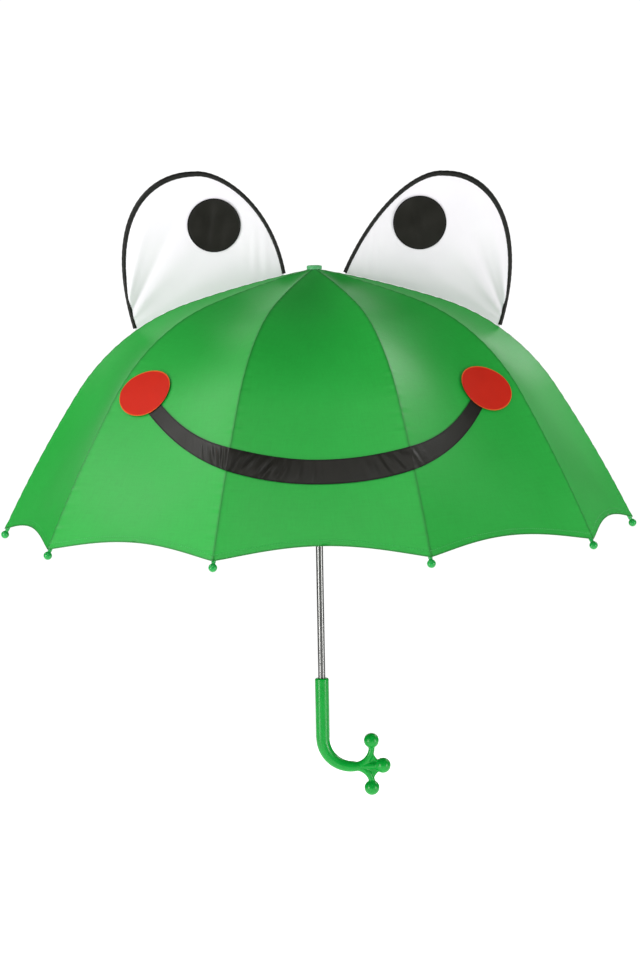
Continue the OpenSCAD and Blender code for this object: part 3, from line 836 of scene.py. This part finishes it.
def handle():
    """The grip, the hook and the webbed foot, melted into one skin."""
    bm = bmesh.new()
    lip = 0.0014
    straight = [(0, 0, GRIP_TOP), (0, 0, GRIP_TOP - lip * 0.35), (0, 0, GRIP_TOP - lip)]
    straight += [(0, 0, z) for z in np.linspace(GRIP_TOP - 0.004, BEND_Z, 10)]
    bend = bend_path((BEND_R, BEND_Z), BEND_R, 180, 270, 28)[1:]
    palm = [(PALM[0] + x * MM, 0, PALM[1] - 0.0002 * x / 4) for x in (3, 6)]
    radii = [GRIP_R - 0.0012, GRIP_R - 0.0003] + [GRIP_R] * 11
    radii += [GRIP_R - 0.0016 * (k / 27) ** 1.3 for k in range(1, 28)] + [0.0058, 0.0052]
    ring_mesh(bm, tube_rings(straight + bend + palm, radii, 40))
    toe_r = 0.022
    upper = bend_path((PALM[0], PALM[1] + toe_r), toe_r, 262, 352, 24)
    lower = bend_path((PALM[0] + 0.0004, PALM[1] - toe_r), toe_r, 98, 6, 24)
    taper = [0.0036 + 0.0018 * (1 - k / 23) ** 2 for k in range(24)]
    for path, end in ((upper, (0.0547, 0, -0.0410)), (lower, (0.0546, 0, -0.0925))):
        ring_mesh(bm, tube_rings(path + [end], taper + [0.0040], 24))
    middle = [(PALM[0] + x, 0, PALM[1] + 0.0006 * x / 0.034) for x in np.linspace(0, 0.032, 14)]
    ring_mesh(bm, tube_rings(middle, [0.0052 - 0.0017 * (k / 13) ** 0.6 for k in range(14)], 24))
    ball(bm, (0.0547, -0.0397), 0.0086)
    ball(bm, (0.0675, -0.0684), 0.0088)
    ball(bm, (0.0546, -0.0938), 0.0086)
    for way in (1, -1):
        outer = [
            (0.0550 + 0.0075 * k, PALM[1] + way * (0.0190 - 0.0125 * k - 0.0018 * math.sin(k * math.pi)))
            for k in np.linspace(0, 1, 9)
        ]
        inner = [(0.0625, PALM[1]), (0.042, PALM[1])]
        inner += [(0.048, PALM[1] + way * 0.007), (0.0525, PALM[1] + way * 0.014)]
        outline = outer + inner
        web(bm, outline if way > 0 else outline[::-1], 0.0010)
    mesh = finished_mesh(bm, "handle_skin")
    piece = new_object("handle_moulding", mesh, HANDLE_PLASTIC)
    remesh = piece.modifiers.new("melt", "REMESH")
    remesh.mode = "VOXEL"
    remesh.voxel_size = 0.0007
    remesh.use_smooth_shade = True
    smooth = piece.modifiers.new("smooth", "SMOOTH")
    smooth.iterations = 6
    smooth.factor = 0.5
    apply_modifiers(piece)
    piece.data.materials.clear()
    piece.data.materials.append(HANDLE_PLASTIC)
    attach(piece, "umbrella")
    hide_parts("handle")


def rib_tip(i):
    """The ball and collar on a rib's end."""
    radius, height = beneath(COLLAR_S, RIB_DEPTH)
    tilt = float(slope(COLLAR_S))
    place = (
        Matrix.Rotation(azimuth(i), 4, "Z")
        @ Matrix.Translation((float(radius), 0, float(height)))
        @ Matrix.Rotation(math.pi / 2 + tilt, 4, "Y")
    )
    ball_r, collar_r, centre = 0.0044, 0.0022, 0.0100
    profile = [(0, 0), (collar_r - 0.0005, 0), (collar_r - 0.0001, 0.0003), (collar_r, 0.0008)]
    profile += [(collar_r, 0.0045), (collar_r - 0.0003, 0.0050), (collar_r - 0.0003, 0.0056)]
    start = math.asin((collar_r - 0.0002) / ball_r)
    profile += [
        (ball_r * math.sin(a), centre - ball_r * math.cos(a)) for a in np.linspace(start, math.pi, 22)
    ]
    piece = lathe(f"tip_{i}", profile, place, TIP_PLASTIC, 36)
    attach(piece, f"rib_end_{i}")
    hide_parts(f"rib_tip_{i}")


def cap():
    base = CROWN_Z + 0.0007
    profile = [(0, 0), (0.0074, 0), (0.0075, -0.0006), (0.0083, -0.0006), (0.0084, 0.0026)]
    profile += [(0.0082, 0.0032), (0.0076, 0.0037)]
    profile += [(0.0066, 0.0039), (0.0062, 0.0036), (0.0050, 0.0036), (0.0046, 0.0041), (0, 0.0041)]
    piece = lathe("cap_moulding", profile, Matrix.Translation((0, 0, base)), CAP_PLASTIC, 72)
    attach(piece, "umbrella")
    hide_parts("crown_cap")


def runner_ring():
    """The loop of wire that holds the stretchers' ends in the runner's flange."""
    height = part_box("stretcher_3")[0].z + 0.0014
    radius, wire = 0.010, 0.0005
    sides = 72
    rings = []
    for k in range(sides + 1):
        a = math.tau * k / sides
        middle = Vector((radius * math.cos(a), radius * math.sin(a), height))
        out = Vector((math.cos(a), math.sin(a), 0))
        rings.append([
            middle + out * wire * math.cos(b) + Vector((0, 0, wire * math.sin(b)))
            for b in np.linspace(0, math.tau, 12, endpoint=False)
        ])
    mesh = welded_mesh("runner_ring", rings)
    mesh.shade_smooth()
    piece = new_object("runner_ring", mesh, CATCH_STEEL)
    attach(piece, "runner")


def paint(node, material):
    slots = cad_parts[node].material_slots
    for slot in slots:
        slot.material = material


# ---------------------------------------------------------------- camera, light and floor

RIM_Z = 0.204
CAMERA_DISTANCE = 2.932
CAMERA_ELEVATION = math.radians(6.32)
LENS_MM = 98.1375
LEAN = math.radians(1.05)
AMBIENT = 0.32
AMBIENT_MIRRORED = 0.05
BACKDROP = 1.05
FLOOR_HALF = 2.2
FLOOR_Z = -0.46
FLOOR_GLOW = 0.85


def camera():
    data = bpy.data.cameras.new("camera")
    data.sensor_width = 36
    data.lens = LENS_MM
    data.shift_x = 0.001
    data.shift_y = 0.0492
    data.clip_end = 50
    piece = bpy.data.objects.new("camera", data)
    COLLECTION.objects.link(piece)
    turn = math.radians(-0.41)
    back = Vector((
        math.sin(turn) * math.cos(CAMERA_ELEVATION),
        -math.cos(turn) * math.cos(CAMERA_ELEVATION),
        math.sin(CAMERA_ELEVATION),
    ))
    piece.location = Vector((0, 0, RIM_Z)) + back * CAMERA_DISTANCE
    aim = (-back).to_track_quat("-Z", "Y").to_matrix().to_4x4()
    piece.rotation_euler = (aim @ Matrix.Rotation(-LEAN, 4, "Z")).to_euler()
    bpy.context.scene.camera = piece


def softbox(name, location, target, width, height, power):
    data = bpy.data.lights.new(name, "AREA")
    data.shape = "RECTANGLE"
    data.size = width
    data.size_y = height
    data.energy = power
    piece = bpy.data.objects.new(name, data)
    COLLECTION.objects.link(piece)
    piece.location = location
    piece.rotation_euler = (Vector(target) - Vector(location)).to_track_quat("-Z", "Y").to_euler()


def studio():
    world = bpy.data.worlds.new("studio")
    bpy.context.scene.world = world
    world.use_nodes = True
    nodes = world.node_tree.nodes
    links = world.node_tree.links
    background = nodes["Background"]
    seen = nodes.new("ShaderNodeLightPath")
    mirrored = nodes.new("ShaderNodeMapRange")
    mirrored.inputs["To Min"].default_value = AMBIENT
    mirrored.inputs["To Max"].default_value = AMBIENT_MIRRORED
    links.new(seen.outputs["Is Glossy Ray"], mirrored.inputs["Value"])
    share = nodes.new("ShaderNodeMapRange")
    share.inputs["To Max"].default_value = BACKDROP
    links.new(seen.outputs["Is Camera Ray"], share.inputs["Value"])
    links.new(mirrored.outputs["Result"], share.inputs["To Min"])
    links.new(share.outputs["Result"], background.inputs["Strength"])
    background.inputs["Color"].default_value = (1, 1, 1, 1)
    target = (0, 0, 0.3)
    softbox("key", (-2.2, -1.8, 0.15), target, 0.9, 1.2, 48)
    softbox("fill", (2.5, -1.4, 0.10), target, 0.8, 1.2, 38)
    softbox("over", (0.0, -2.0, 2.2), target, 2.2, 0.5, 14)
    softbox("over_left", (-2.1, -0.1, 2.0), target, 2.6, 0.6, 22)
    softbox("over_right", (1.9, 1.5, 1.7), target, 1.8, 0.6, 17)
    softbox("behind", (-0.3, 2.8, 0.8), target, 2.2, 1.4, 9)
    bpy.context.scene.view_settings.view_transform = "Standard"


def floor():
    """A wide pale floor, well below the hand-held umbrella."""
    bm = bmesh.new()
    bmesh.ops.create_grid(bm, x_segments=8, y_segments=8, size=FLOOR_HALF)
    mesh = bpy.data.meshes.new("floor")
    bm.to_mesh(mesh)
    bm.free()
    nodes = Nodes("pale_floor")
    cloudy = nodes.noise(2, 3, nodes.object_coordinates())
    nodes.set(Base_Color=nodes.mix(cloudy, (0.88, 0.88, 0.88, 1), (0.90, 0.90, 0.90, 1)))
    nodes.set(Roughness=0.9, Emission_Color=(1, 1, 1, 1), Emission_Strength=FLOOR_GLOW)
    piece = new_object("floor", mesh, nodes.material)
    piece.location = (0, 0, FLOOR_Z)


# ---------------------------------------------------------------- build

camera()
for i in range(1, RIBS + 1):
    for side in (-1, 1):
        for part in PARTS:
            half_gore(i, side, part)
    rib_tip(i)
    paint(f"rib_{i}", RIB_STEEL)
    paint(f"rib_end_{i}", RIB_STEEL)
    paint(f"stretcher_{i}", RIB_STEEL)
smile()
cheek("cheek_left", math.radians(-137.1), 0.2855, math.radians(6.0), 0.0293)
cheek("cheek_right", math.radians(-44.1), 0.2865, math.radians(6.1), 0.0290)
eye("eye_right", 1, 3, EYE_RIGHT, 0.1175, 0.0495)
eye("eye_left", -1, 8, EYE_LEFT, 0.1100, 0.0505)
handle()
cap()
runner_ring()
paint("shaft_tube", CHROME)
paint("crown_notch", CROWN_PLASTIC)
paint("runner", HANDLE_PLASTIC)
paint("runner_stop", RUBBER)
paint("top_catch", CATCH_STEEL)
paint("bottom_catch", CATCH_STEEL)
studio()
floor()
